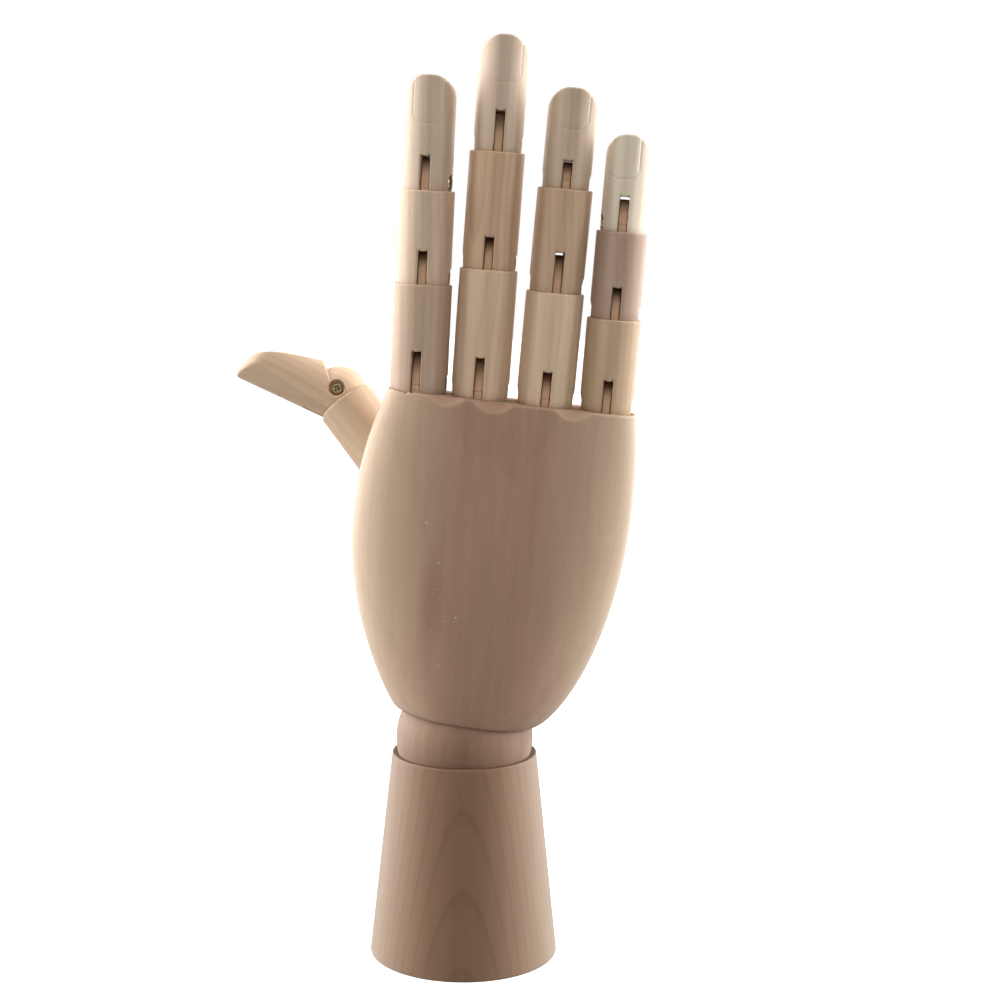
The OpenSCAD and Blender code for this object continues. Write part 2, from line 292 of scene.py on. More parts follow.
# %% From a surface to a scene piece
def piece(name, points, faces, at, body, nodes, material, end=None, grain=None):
    """Adds a finished surface to the scene, in metres, and lets it ride on its CAD body. It keeps
    two attributes: grain, the point's place in the timber in millimetres with the fibres along z,
    and end, how far the surface turns across the fibres (1 on end grain). The tongues give their
    own end instead: painted shade that darkens them towards their tops."""
    mesh = bpy.data.meshes.new(name)
    mesh.from_pydata((to_world(points, at) * MM).tolist(), [], list(faces))
    mesh.update()
    mesh.polygons.foreach_set("use_smooth", np.ones(len(mesh.polygons), bool))
    grain = points if grain is None else grain
    mesh.attributes.new("grain", "FLOAT_VECTOR", "POINT").data.foreach_set(
        "vector", grain.astype(np.float32).ravel()
    )
    if end is None:
        normals = np.empty(len(points) * 3, np.float32)
        mesh.vertex_normals.foreach_get("vector", normals)
        end = np.abs(normals.reshape(-1, 3) @ at[1][:, 2])
    mesh.attributes.new("end", "FLOAT", "POINT").data.foreach_set("value", end.astype(np.float32))
    mesh.materials.append(material)
    thing = bpy.data.objects.new(name, mesh)
    scene.collection.objects.link(thing)
    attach(thing, body)
    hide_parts(*nodes)
    print(f"{name}: {len(points)} vertices, {len(mesh.polygons)} faces")


print("pieces carry the attributes grain and end")

# %% [markdown]
# ## Tools for finishes
#
# A finish is a tree of shader nodes. It could be wired by hand in the editor, but the same few
# steps come again and again: stretch a noise along the fibres, turn a range of it into a mask, and
# lay one colour over another by that mask. Each step gets a short function here.

# %% Colours and shader nodes
def linear(colour):
    """sRGB hex text turned to linear red, green, blue and alpha 1."""
    c = np.array([int(colour[k : k + 2], 16) for k in (1, 3, 5)]) / 255
    return (*np.where(c <= 0.04045, c / 12.92, ((c + 0.055) / 1.055) ** 2.4), 1.0)


def shade(colour, factor, warmth=0.0):
    """A linear colour made darker or paler, and warmer by raising red and lowering blue."""
    r, g, b, _ = colour
    warm = (1 + warmth, 1.0, 1 - warmth)
    return (*(min(1.0, c * factor * w) for c, w in zip((r, g, b), warm)), 1.0)


def node(tree, kind, inputs=None, **settings):
    """Adds a shader node, sets its properties, and fills its inputs with numbers or links."""
    added = tree.nodes.new("ShaderNode" + kind)
    for key, value in settings.items():
        setattr(added, key, value)
    for key, value in (inputs or {}).items():
        if isinstance(value, bpy.types.NodeSocket):
            tree.links.new(value, added.inputs[key])
        else:
            added.inputs[key].default_value = value
    return added


def blank_material(name):
    """A new material and its node tree, with nothing in the tree."""
    material = bpy.data.materials.new(name)
    material.use_nodes = True
    material.node_tree.nodes.clear()
    return material, material.node_tree


def arithmetic(tree, operation, *values):
    """A Math node on numbers or links. MULTIPLY_ADD is first times second plus third."""
    return node(tree, "Math", dict(enumerate(values)), operation=operation).outputs[0]


def vector(tree, operation, *values):
    """A Vector Math node on vectors or links, one number at a time."""
    return node(tree, "VectorMath", dict(enumerate(values)), operation=operation).outputs[0]


def magnitude(tree, value):
    """The root of the sum of a vector's three squares."""
    return node(tree, "VectorMath", {0: value}, operation="LENGTH").outputs["Value"]


def ramp(tree, value, start, full, low=0.0, high=1.0):
    """A straight slope from low, where the value is start, to high, where it is full, and level
    beyond them."""
    return node(tree, "MapRange", {"Value": value, "From Min": start, "From Max": full,
                                   "To Min": low, "To Max": high}).outputs[0]


def noise(tree, at, scale, detail, roughness=0.5):
    """Noise on axes multiplied by a scale, so a small number draws it out along that axis."""
    drawn = node(tree, "Mapping", {"Vector": at, "Scale": scale})
    return node(tree, "TexNoise", {"Vector": drawn.outputs[0], "Scale": 1.0, "Detail": detail,
                                   "Roughness": roughness}).outputs


def blend(tree, factor, under, over):
    """One colour over another: under times one minus the factor, plus over times the factor."""
    return node(tree, "Mix", {"Factor": factor, 6: under, 7: over}, data_type="RGBA").outputs[2]


def patch(tree, at, centre, scale, inner, outer, amount):
    """A soft patch: amount within inner of a centre and 0 beyond outer, on scaled axes."""
    moved = vector(tree, "SUBTRACT", at, centre)
    away = magnitude(tree, vector(tree, "MULTIPLY", moved, scale))
    return ramp(tree, away, outer, inner, high=amount)


print("helpers for shader nodes are ready")

# %% [markdown]
# ## Wood
#
# The timber is pale, close-grained and unvarnished, sanded by hand. It could be one flat colour
# with a little noise, but then every piece would look cast from the same stuff. Growth rings here
# are cylinders about a pith line outside the piece, bent by a slow wave, so a flat or round cut
# through them shows stripes or arches. Fibres are fine streaks along z. End grain takes up more
# dirt and is darker. Each piece gets its own tone, pith line and seed, because the joints are made
# from odd pieces of stock.

# %% One recipe for all the timber
SEED_STEP = 13.7  # how far along the log the next seed's piece is cut, in millimetres


def wood(name, tone, seed, pith=(14, 18), tilt=2.0, ring=2.6, figure=0.35, streak=0.4,
         sanding=None, dust=None, spots=0.0, end_grain_and_shade_dark=0.72, swing=5.0, late_from=0.35, fuzz=0.1,
         band=0.6, sapwood_and_side_light=None, stain=None):
    """Unvarnished sanded hardwood. The ring number is the distance from the pith line over the
    ring's width, and late wood is where its fraction is past late_from.

    pith is where the growth rings' centre line is, in millimetres from the piece's own z axis,
    tilt leans that line so that the rings run out as arches, and swing is how far the rings
    wander. figure, streak and band are how strong the rings, the fibres and the broad bands of
    tone are. end_grain_and_shade_dark is the shade of end grain, and on the tongues also the colour
    of painted shade at their tops; fuzz is the nap of raised fibres that sanding leaves.
    sapwood_and_side_light is a paler tone and the two distances from the middle between which it
    takes over: part paler sapwood, part painted side light on the left and right. stain, sanding
    and dust are the (x, z) places of a reddish mineral streak, of scratches across the grain and
    of pale specks, and spots is how strong scattered brown spots are."""
    material, tree = blank_material(name)
    base = linear(tone)
    at = node(tree, "Attribute", attribute_name="grain").outputs["Vector"]
    end = node(tree, "Attribute", attribute_name="end").outputs["Fac"]
    lean = node(tree, "Mapping", {"Vector": at, "Location": (*pith, SEED_STEP * seed),
                                  "Rotation": (math.radians(tilt), math.radians(0.6 * tilt), 0)})
    lean = lean.outputs[0]
    wave = noise(tree, lean, (0.06, 0.06, 0.014), 2.0)["Color"]
    bent = vector(tree, "ADD", lean, vector(tree, "MULTIPLY", wave, (swing, swing, 0.0)))
    reach = magnitude(tree, vector(tree, "MULTIPLY", bent, (1.0, 1.0, 0.0)))
    phase = arithmetic(tree, "FRACT", arithmetic(tree, "DIVIDE", reach, ring))
    late_end = 0.93
    rings = arithmetic(tree, "MULTIPLY", ramp(tree, phase, late_from, late_end),
                       ramp(tree, phase, 1.0, late_end))
    fibres = noise(tree, lean, (1.8, 1.8, 0.15), 5.0, 0.65)["Fac"]
    bands = noise(tree, lean, (0.35, 0.35, 0.02), 3.0)["Fac"]
    pores = noise(tree, lean, (5.0, 5.0, 0.7), 1.0)["Fac"]

    stripes = arithmetic(tree, "MULTIPLY", rings, figure)
    banded = arithmetic(tree, "MULTIPLY_ADD", bands, band, stripes)
    mixed = arithmetic(tree, "MULTIPLY_ADD", fibres, streak, banded)
    low = 0.5 * band - 0.2 + 0.3 * streak
    depth = ramp(tree, mixed, low, low + 0.5 + figure + 0.4 * streak)
    colour = blend(tree, depth, shade(base, 1.13, -0.01), shade(base, 0.72, 0.05))
    # Paler to the left and right of the middle: part a paler sapwood tone, part painted side light
    if sapwood_and_side_light:
        sap_and_side_light_tone, start, full = sapwood_and_side_light
        pale = patch(tree, bent, (0, 0, 0), (1, 0, 0), full, start, 1.0)
        sap_and_side_light = blend(tree, depth, shade(linear(sap_and_side_light_tone), 1.1), shade(linear(sap_and_side_light_tone), 0.8, 0.03))
        colour = blend(tree, pale, colour, sap_and_side_light)
    if stain:
        centre = (stain[0] + pith[0], 0, stain[1] + SEED_STEP * seed)
        streaked = patch(tree, bent, centre, (1, 0, 0.2), 1.0, 4.6, 0.6)
        colour = blend(tree, streaked, colour, shade(base, 0.66, 0.16))
    pits = arithmetic(tree, "MULTIPLY", ramp(tree, pores, 0.36, 0.26), 0.22)
    colour = blend(tree, pits, colour, shade(base, 0.45, 0.08))
    # Darker where the end attribute is high: real end grain, and on the tongues painted shade
    # towards their tops
    end_grain_and_painted_shade = ramp(tree, end, 0.45, 0.98, high=0.85)
    colour = blend(tree, end_grain_and_painted_shade, colour, shade(base, end_grain_and_shade_dark, 0.06))
    height = arithmetic(tree, "MULTIPLY_ADD", fibres, 0.6, pores)
    if spots:
        blot = node(tree, "Mapping", {"Vector": at, "Location": (seed, 2.1 * seed, 0.7 * seed),
                                      "Scale": (0.9, 0.9, 0.55)})
        blots = node(tree, "TexNoise", {"Vector": blot.outputs[0], "Scale": 1.0, "Detail": 2.0})
        spotted = ramp(tree, blots.outputs["Fac"], 0.66, 0.76, high=spots)
        colour = blend(tree, spotted, colour, shade(base, 0.62, 0.22))
    if sanding:
        rub = node(tree, "Mapping", {"Vector": at, "Scale": (0.07, 0.4, 2.4),
                                     "Rotation": (0, math.radians(1.5), 0)})
        marks = node(tree, "TexNoise", {"Vector": rub.outputs[0], "Scale": 1.0, "Detail": 4.0,
                                        "Roughness": 0.7}).outputs["Fac"]
        place_rubbed = patch(tree, at, (sanding[0], 0, sanding[1]), (1, 0, 1.7), 6, 30, 0.28)
        rubbing_and_painted_shade = arithmetic(tree, "MULTIPLY", ramp(tree, marks, 0.56, 0.7), place_rubbed)
        colour = blend(tree, rubbing_and_painted_shade, colour, shade(base, 1.5, -0.05))
        height = arithmetic(tree, "MULTIPLY_ADD", marks, 0.5, height)
    if dust:
        cells = node(tree, "TexVoronoi", {"Vector": at, "Scale": 0.4})
        specks = ramp(tree, cells.outputs["Distance"], 0.13, 0.07)
        sparse = node(tree, "TexNoise", {"Vector": at, "Scale": 0.2, "Detail": 2.0})
        place_dusty = patch(tree, at, (dust[0], 0, dust[1]), (1, 0, 0.5), 2, 18, 0.24)
        level = arithmetic(tree, "ADD", sparse.outputs["Fac"], place_dusty)
        grains = arithmetic(tree, "MULTIPLY", specks, ramp(tree, level, 0.66, 0.74, high=0.9))
        colour = blend(tree, grains, colour, (0.85, 0.82, 0.78, 1))
    bump = node(tree, "Bump", {"Height": height, "Strength": 0.5, "Distance": 0.00006})
    nap = arithmetic(tree, "MULTIPLY_ADD", end, -fuzz, fuzz)
    surface = node(tree, "BsdfPrincipled", {"Base Color": colour, "IOR": 1.5,
                                            "Roughness": ramp(tree, fibres, 0, 1, 0.5, 0.66),
                                            "Normal": bump.outputs[0], "Sheen Weight": nap,
                                            "Sheen Roughness": 0.45})
    node(tree, "OutputMaterial", {"Surface": surface.outputs[0]})
    return material


print("timber recipe is ready")

# %% [markdown]
# ## Metal
#
# The screws are plated brass gone dull, and the spring is drawn steel. Both could be plain mirrors
# of one colour. Patches of tarnish and fine tool marks make them look handled instead.

# %% One recipe for the metals


def metal(name, tone, tarnish, roughness):
    """Turned or drawn metal: fine tool marks round the piece and dull patches of tarnish."""
    material, tree = blank_material(name)
    base = linear(tone)
    at = node(tree, "Attribute", attribute_name="grain").outputs["Vector"]
    patches = node(tree, "TexNoise", {"Vector": at, "Scale": 0.9, "Detail": 4.0}).outputs["Fac"]
    marks = node(tree, "TexNoise", {"Vector": at, "Scale": 9.0, "Detail": 2.0}).outputs["Fac"]
    colour = blend(tree, ramp(tree, patches, 0.45, 0.7), base, linear(tarnish))
    rough = ramp(tree, patches, 0.3, 0.7, roughness, roughness + 0.2)
    bump = node(tree, "Bump", {"Height": marks, "Strength": 0.4, "Distance": 0.00003})
    surface = node(tree, "BsdfPrincipled", {"Base Color": colour, "Metallic": 1.0,
                                            "Roughness": rough, "Normal": bump.outputs[0]})
    node(tree, "OutputMaterial", {"Surface": surface.outputs[0]})
    return material


print("metal recipe is ready")

# %% [markdown]
# ## Base
#
# The base is a turned cone with a ball seat in its top and a bore for the wrist's spring. Turning
# it from one blank with the fibres upright leaves end grain on the thin rim and arches on the
# cone's face, where it cuts across the growth rings.

# %% The turned base
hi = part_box("base")[1]
base_r, base_h = hi.x / MM, hi.z / MM
rim_r, seat_r, bore_r, recess_r, recess_h = 23.7, 22.6, 6.5, 9.0, 7.0
drop = np.linspace(math.asin((ball_centre[2] - base_h) / seat_r), math.acos(bore_r / seat_r), 24)
seat = np.stack([seat_r * np.cos(drop), ball_centre[2] - seat_r * np.sin(drop)], 1)
outline = np.concatenate([[(recess_r, 0), (base_r, 0), (rim_r, base_h)], seat,
                          [(bore_r, recess_h), (recess_r, recess_h)]])
points, faces = revolve(refine(soften(outline, 0.5), 0.7), 200)
angle = np.arctan2(points[:, 1], points[:, 0])
near_rim, roughness = points[:, 2] > base_h - 0.8, 0.06
points[:, 2] += np.where(near_rim, roughness * wobble(angle, 1.0, 9), 0)
points[:, 2] = np.clip(points[:, 2], 0, base_h)
world = (np.zeros(3), np.eye(3))
# The base's paler left and right sides are part sapwood, part painted side light
base_wood = wood("Turned poplar, base", "#8b684c", 1.3, (0.5, 118.65), 0.0,
                 2.7, 0.34, 0.2, swing=1.6, late_from=0.68, end_grain_and_shade_dark=0.35, fuzz=0.6,
                 sapwood_and_side_light=("#a68d72", 10, 38))
piece("base_turned", points, faces, world, "base", ["base"], base_wood)

# %% [markdown]
# ## Ball
#
# The ball is a turned sphere with an hourglass hole, so that the spring can lean inside it.

# %% The wrist ball
ball_r, waist_r, flare = 22.4, 4.6, math.tan(math.radians(24))
mouth_z = np.roots([1 + flare**2, 2 * waist_r * flare, waist_r**2 - ball_r**2]).max()
top = math.asin(mouth_z / ball_r)
around = np.linspace(-top, top, 90)
outer = np.stack([ball_r * np.cos(around), ball_r * np.sin(around)], 1)
hole_z = np.linspace(mouth_z, -mouth_z, 41)[1:-1]
hole = np.stack([waist_r + np.abs(hole_z) * flare, hole_z], 1)
points, faces = revolve(np.concatenate([outer, hole]), 180)
ball_at = (ball_centre, np.eye(3))
ball_wood = wood("Turned poplar, ball", "#98755b", 4.1, (9, -22), 1.0, 2.2, 0.12, 0.3,
                 fuzz=0.5)
piece("wrist_ball_turned", points, faces, ball_at, "wrist_ball", ["wrist_ball"], ball_wood)

# %% [markdown]
# ## Tongues, forks and screws as fields
#
# A fork is a dowel with a round knuckle below. The palm side of the knuckle is cut away at 45
# degrees so that the finger can curl, a saw slot takes the tongue, and a drilled hole with a
# counterbore at each side takes the screw. The slot's far corners break out a little where the saw
# leaves the wood. A tip is the same fork, sloped on the pad side, rounded at its end, and its nail
# is a shallow line cut with a gouge.

# %% The tongue and its socket
RISE, THUMB_RISE = 2.4, 3.8  # how far a segment's upper end stops short of the next pivot
SLOT, TONGUE = 1.5, 1.3  # half widths of the saw slot and of the tongue in it
BORE, SHANK = 1.05, 1.0  # radii of the screw's hole and of its shank
COUNTERBORE, SEAT = 2.7, 2.4  # the counterbore's radius, and its depth below the dowel's side
MORTISE = 8  # how far a tongue is glued in below the knuckle


def tongue_half(r):
    """Half the tongue's width: the knuckle's radius less an inset."""
    return r - 1.2


def glued_taper(z, r):
    """How much narrower the tongue is where it is glued in: 0.7 for each millimetre below 0.6 r."""
    return np.clip((-z - 0.6 * r) * 0.7, 0, 3)


def mortise_field(p, r):
    """The part of a tongue below its pivot, as the largest of its faces' distances."""
    x, y, z = np.abs(p[:, 0]), np.abs(p[:, 1]), p[:, 2]
    half = tongue_half(r) - glued_taper(z, r)
    return np.max([x - TONGUE, y - half, z, -r - MORTISE - z], axis=0)


def socket_field(p, r):
    """The hollow for a knuckle: a ball with 0.2 of room, joined to the mortise under it."""
    return np.minimum(np.linalg.norm(p, axis=1) - r - 0.2, mortise_field(p, r))


def tongue_field(p, r, slot, gap):
    """A half disc in the slot over a straight glued end, with the screw's hole through it."""
    x, y, z = np.abs(p[:, 0]), np.abs(p[:, 1]), p[:, 2]
    disc = np.hypot(p[:, 1], z) - slot + gap
    outline = np.minimum(np.maximum(disc, -z), np.maximum(z, -r - MORTISE - z))
    taper = 0.3 * np.maximum(z, 0) + glued_taper(z, r)
    outline = ease(outline, y + taper - tongue_half(r), 0.6)
    swell = 0.15 * np.clip(1 - (y / 6) ** 2, 0, 1)
    return np.maximum(ease(outline, x - TONGUE - swell, 0.25), BORE - np.hypot(p[:, 1], z))


print("tongues are glued in", MORTISE, "mm below the knuckle")

# %% [markdown]
# ## Forks and tips as fields
#
# The fork's slot is sawn by hand, so its sides wander and its corners break out. Chips could be
# modelled one by one. Here a narrow bump at each corner of the cut stands for them, which is enough
# at this size.

# %% The fork, the segment and the tip
def fork_field(p, r, slot, seed, lean=0.0):
    """The dowel without its upper end: knuckle, 45 degree cut, slot, screw hole, counterbores.
    lean tips the counterbore on the +x side, or on the -x side if it is negative, towards the back
    of the hand, because they are drilled by hand."""
    x, y, z = p.T
    dowel = np.hypot(x, y) - r + 0.03 * wobble(np.arctan2(y, x), seed, 2)
    dowel = ease(np.maximum(dowel, -z), (y + 1.85 - z) / math.sqrt(2), 0.3)
    body = np.minimum(dowel, np.linalg.norm(p, axis=1) - r)
    skin = np.clip((np.hypot(y, 0.6 * x) - r + 1.6) / 1.2, 0, 1)
    chip = skin * (0.42 * np.exp(-(((np.abs(x) - 1.15) / 0.4) ** 2)) + 0.12 * wobble(x, seed, 3))
    half = SLOT + 0.1 * skin * np.maximum(wobble(z, seed, 1.4), 0)
    cut = np.maximum(np.abs(x) - half, z - slot - np.maximum(chip, 0))
    body = ease(body, -cut, 0.22)
    hole = np.hypot(y, z)
    body = np.maximum(body, BORE - hole)
    mouth = np.hypot(y + np.abs(lean) * np.maximum(x * np.sign(lean) - r + SEAT, 0), z)
    return ease(body, np.minimum(COUNTERBORE - mouth, np.abs(x) - r + SEAT), 0.15)


def segment_field(p, r, length, slot, seed, next_r, rise, turn, lean=0.0):
    """A fork with a flat upper end and a round socket in it for the next knuckle."""
    angle = np.arctan2(p[:, 1], p[:, 0])
    end = p[:, 2] - length + rise - 0.05 * wobble(angle, seed + 1, 7)
    body = ease(fork_field(p, r, slot, seed, lean), end, 0.4)
    upper = (p - [0, 0, length]) @ turn
    return ease(body, -socket_field(upper, next_r), 0.15)


def tip_field(p, r, length, slot, seed, nail, begin=0.3, power=1.3):
    """A fork whose pad side follows a superellipse along its length, and whose end is an arch."""
    x, y, z = p.T
    shift, half, low, depth, sides, blunt, lean = nail
    body = fork_field(p, r, slot, seed, lean)
    t = np.clip(z / length, 0, 2)
    slope = np.maximum(t - begin, 1e-6)
    full = 1 - 0.5 * slope**power
    share = (y + r) / (2 * r * full)
    size = np.sqrt(share**2 + t**8) + 1e-9
    dy = share / (2 * r * full) / size
    dz = (4 * t**7 + share**2 * 0.5 * power * slope ** (power - 1) / full) / length / size
    pad = np.where(z > 0, (size - 1) / np.maximum(np.hypot(dy, dz), 0.02), -r)
    body = ease(body, pad, 0.35)
    above = np.maximum(z - length + r, 0)
    body = ease(body, np.hypot(x, above) - r, 0.6)
    body = ease(body, z - length + blunt, 0.5)
    across_nail = np.abs(x - shift)
    base_line = low + 3.2 * (np.minimum(across_nail, half) / half) ** 4
    line = np.abs(z - base_line) + np.where(across_nail < half, 0, 9)
    edge = np.abs(across_nail - half) + np.where(z > low + 2.4, 0, 9)
    hidden = np.where(x > shift, sides == "left", sides == "right")
    edge = edge + 9 * hidden
    groove = np.exp(-((np.minimum(line, edge) / 0.24) ** 2))
    return body + depth * groove * (y < -1.0)


print("saw slots are", 2 * SLOT, "mm wide, tongues", 2 * TONGUE, "mm thick")

# %% [markdown]
# ## Screws as fields
#
# One small screw holds each joint. Its head is a low dome with a cross cut in it, and a hexagon nut
# sits in the counterbore at the other side. A thread would be hidden in the wood, so there is none.

# %% The screw and its nut
HEAD_R, HEAD_H, CROSS_FLOOR = 2.0, 1.45, 0.65
NUT_HALF, NUT_H = 2.0, 1.6


def screw_field(p, r, side):
    """A pan-head screw with a cross recess, and a hexagon nut at its other end."""
    seat = r - SEAT
    a, y, z = p[:, 0] * side, p[:, 1], p[:, 2]
    across = np.hypot(y, z)
    shank = np.max([across - SHANK, a - seat, -seat - NUT_H - a], axis=0)
    dome = a - seat - HEAD_H + 0.09 * across**2
    head = ease(across - HEAD_R + 0.15 * (a - seat), dome, 0.35)
    head = np.maximum(head, seat - a)
    wide = 0.12 + 0.4 * (a - seat - CROSS_FLOOR)
    bar = np.minimum(np.maximum(np.abs(y) - 1.2, np.abs(z) - wide),
                     np.maximum(np.abs(z) - 1.2, np.abs(y) - wide))
    head = np.maximum(head, -np.maximum(bar, seat + CROSS_FLOOR - a))
    facing = np.radians([30, 90, 150])
    flats = np.max([np.abs(y * math.cos(b) + z * math.sin(b)) for b in facing], axis=0)
    nut = ease(flats - NUT_HALF, np.maximum(-seat - NUT_H - a, a + seat), 0.2)
    return np.min([shank, head, nut], axis=0)


print("screw head", 2 * HEAD_R, "mm across")

# %% [markdown]
# ## Fingers
#
# Each row of the tables is one finger. Slot depths, radii and nails differ because each joint is
# cut by hand. The screws' heads are all on the little finger's side, except the last one.

# %% The fingers' sizes and tones
RADII = {finger: (r, r - 0.5, r - 1.3) for finger, r in zip(FINGERS, (9.25, 9.25, 9.25, 8.6))}
TIPS = {"index": 33.6, "middle": 33.8, "ring": 29.2, "little": 28.1}
SLOTS = {"index": (10.4, 8.0, 8.2), "middle": (10.6, 7.8, 10.2), "ring": (8.4, 10.2, 6.2),
         "little": (7.8, 7.6, 8.6)}
# Each nail: shift across the finger, half width, height of its base line, depth, which sides
# show, how much the tip above it is blunted, and how far its counterbores lean
NAILS = {"index": (0.1, 4.9, 18.2, 0.16, "both", 0.4, 0.75),
         "middle": (0.4, 5.2, 19.0, 0.14, "right", 0.1, 0.35),
         "ring": (0.1, 5.1, 16.0, 0.18, "right", 0.3, 0.2),
         "little": (-1.0, 4.7, 14.0, 0.24, "both", 0.1, -1.3)}
TONES = {"index": ("#caad94", "#dbc0a4", "#d6bea5"), "middle": ("#e0c1a2", "#d3b08f", "#d8bfa7"),
         "ring": ("#e4c8a8", "#ccac8d", "#ceb69d"), "little": ("#cfb08f", "#bfa18c", "#f6e4cc")}
PARTS = ("first_segment", "middle_segment", "tip")
BODIES = ("first", "middle", "tip")
HINGES = ("knuckle", "middle_joint", "end_joint")
CELL = 0.36
# At these joints the tongue is short of its slot's end, and light shows through
OPEN_SLOTS = ("ring_middle_tenon", "little_end_tenon")

screw_metal = metal("Plated brass, screws", "#bcab85", "#4a3d2e", 0.16)
# This finish's end-grain darkening also paints shade on the tongues' tops
tongue_wood = wood("Sawn poplar, tongues", "#e6be98", 9.0, (20, 5), 1.0, 2.0, 0.2, 0.5,
                   end_grain_and_shade_dark=0.3)


print("fingertip lengths in mm", TIPS)

# %% [markdown]
# ## Joint hardware
#
# A tongue is glued in the lower piece and the screw turns with the upper one, so each rides on its
# own body.

# %% One tongue, one screw
def add_tongue(name, r, slot, at, body, node_name):
    """One tongue. Its colour has painted shade, darker towards its top, where the slot shades it.
    """
    gap = 0.8 if name in OPEN_SLOTS else 0.15
    low, high = (-TONGUE, -tongue_half(r), -r - MORTISE), (TONGUE, tongue_half(r), slot)
    points, faces = net(lambda p: tongue_field(p, r, slot, gap), low, high, CELL)
    # Painted shade: the colour darkens towards the tongue's top, where the slot shades it
    rubbing_and_painted_shade = np.clip(points[:, 2] / slot + 0.25, 0, 1) ** 1.5
    piece(name, points, faces, at, body, [node_name], tongue_wood, rubbing_and_painted_shade)


def add_screw(name, r, side, at, body, node_name):
    """One screw with its nut. Its box reaches just past the nut on each side."""
    reach = r - SEAT + NUT_H + 0.1
    points, faces = net(lambda p: screw_field(p, r, side), (-reach, -2.4, -2.4),
                        (reach, 2.4, 2.4), 0.16)
    piece(name, points, faces, at, body, [node_name], screw_metal)


print("tongues short of their slots:", ", ".join(OPEN_SLOTS))

# %% [markdown]
# ## Building the fingers
#
# One loop goes up each finger. It could copy one finger four times, but no two of these are alike.

# %% All twelve segments with their joints
for f, finger in enumerate(FINGERS):
    for k in range(3):
        at, r, slot = places[f"{finger}_{HINGES[k]}"], RADII[finger][k], SLOTS[finger][k]
        body, seed = f"{finger}_{BODIES[k]}", 3.1 * f + 1.37 * k + 0.5
        below = "palm" if k == 0 else f"{finger}_{BODIES[k - 1]}"
        joint = ("knuckle", "middle", "end")[k]
        timber = wood(f"Sanded poplar, {finger} {PARTS[k]}", TONES[finger][k], seed,
                      (9 + 5 * math.sin(seed * 3), 12 + 6 * math.cos(seed * 5)), 2 + 3 * (k == 1),
                      2.4, 0.18 + 0.2 * (finger == "middle" and k == 1), 0.32,
                      spots=0.8 if finger == "little" and k == 1 else 0.0)
        if k < 2:
            upper = places[f"{finger}_{HINGES[k + 1]}"]
            length, next_r, turn = spans[finger][k], RADII[finger][k + 1], at[1].T @ upper[1]

            def shape(p):
                """This segment's fork, cut flat below the next pivot and hollowed for it."""
                return segment_field(p, r, length, slot, seed, next_r, RISE, turn, 0.25 * k)

            top = length - RISE
        else:
            top = TIPS[finger]

            def shape(p):
                """This finger's tip: its fork, sloped, rounded and with its nail line."""
                return tip_field(p, r, top, slot, seed, NAILS[finger])

        points, faces = net(shape, (-r, -r, -r), (r, r, top), CELL)
        piece(f"{finger}_{PARTS[k]}_wood", points, faces, at, body, [f"{finger}_{PARTS[k]}"],
              timber)
        add_tongue(f"{finger}_{joint}_tenon", r, slot, at, below, f"{finger}_{joint}_tongue")
        side = -1 if finger == "little" and k == 2 else 1
        add_screw(f"{finger}_{joint}_screw_and_nut", r, side, at, body, f"{finger}_{joint}_screw")

# %% [markdown]
# ## Thumb
#
# The thumb has two segments of the same kind. It lies across the hand, so its screw faces forward.

# %% The thumb
thumb_r, thumb_tip_r, thumb_slot, thumb_tip_h = 9.7, 9.3, 8.0, 34.0
root, tip_at = places["thumb_root"], places["thumb_end_joint"]
tip_below = (pivot("thumb_end_joint"), root[1])
thumb_len = np.linalg.norm(thumb_along)
thumb_wood = wood("Sanded poplar, thumb", "#ccaf90", 17.3, (16, 9), 4.0, 2.8, 0.35, 0.35)
thumb_tip_wood = wood("Sanded poplar, thumb tip", "#d8ba9b", 21.9, (-14, 15), 3.0, 2.4, 0.2, 0.3,
                      dust=(0, 16))
points, faces = net(
    lambda p: segment_field(p, thumb_r, thumb_len, thumb_slot, 5.0, thumb_tip_r, THUMB_RISE,
                            np.eye(3)),
    (-thumb_r,) * 3, (thumb_r, thumb_r, thumb_len - THUMB_RISE), CELL)
piece("thumb_long_segment_wood", points, faces, root, "thumb_long", ["thumb_long_segment"],
      thumb_wood)
thumb_nail = (0, 5.6, 17, 0.2, "both", 0.1, 0)
points, faces = net(
    lambda p: tip_field(p, thumb_tip_r, thumb_tip_h, thumb_slot, 6.0, thumb_nail, 0.0, 1.0),
    (-thumb_tip_r,) * 3, (thumb_tip_r, thumb_tip_r, thumb_tip_h), CELL)
piece("thumb_tip_wood", points, faces, tip_at, "thumb_tip", ["thumb_tip"], thumb_tip_wood)
add_tongue("thumb_root_tenon", thumb_r, thumb_slot, root, "palm", "thumb_root_tongue")
add_tongue("thumb_tip_tenon", thumb_tip_r, thumb_slot, tip_below, "thumb_long", "thumb_tip_tongue")
add_screw("thumb_root_screw_and_nut", thumb_r, 1, root, "thumb_long", "thumb_root_screw")
add_screw("thumb_tip_screw_and_nut", thumb_tip_r, 1, tip_at, "thumb_tip", "thumb_tip_screw")

# %% [markdown]
# ## Palm
#
# The palm is one carved block. Its outline is a rounded rectangle whose four half widths follow
# Bezier curves from the wrist to the knuckles. A mound carries the thumb, and a hollow beside it
# gives the thumb room to swing. Three gouge cuts mark the gaps between the knuckles.

# %% The palm's outline
PALM_LO, PALM_HI = 7.0, 112.0
HALVES = {"left": (22.4, 30, 46, 50, 36.8), "right": (22.6, 35.7, 45.2, 49, 43),
          "back": (20.8, 24, 20, 17, 12), "front": (20.8, 25, 24, 15, 12)}


def bezier(values, t):
    """A Bezier curve of single numbers: each times its binomial weight at t, added up."""
    n = len(values) - 1
    return sum(v * math.comb(n, i) * t**i * (1 - t) ** (n - i) for i, v in enumerate(values))


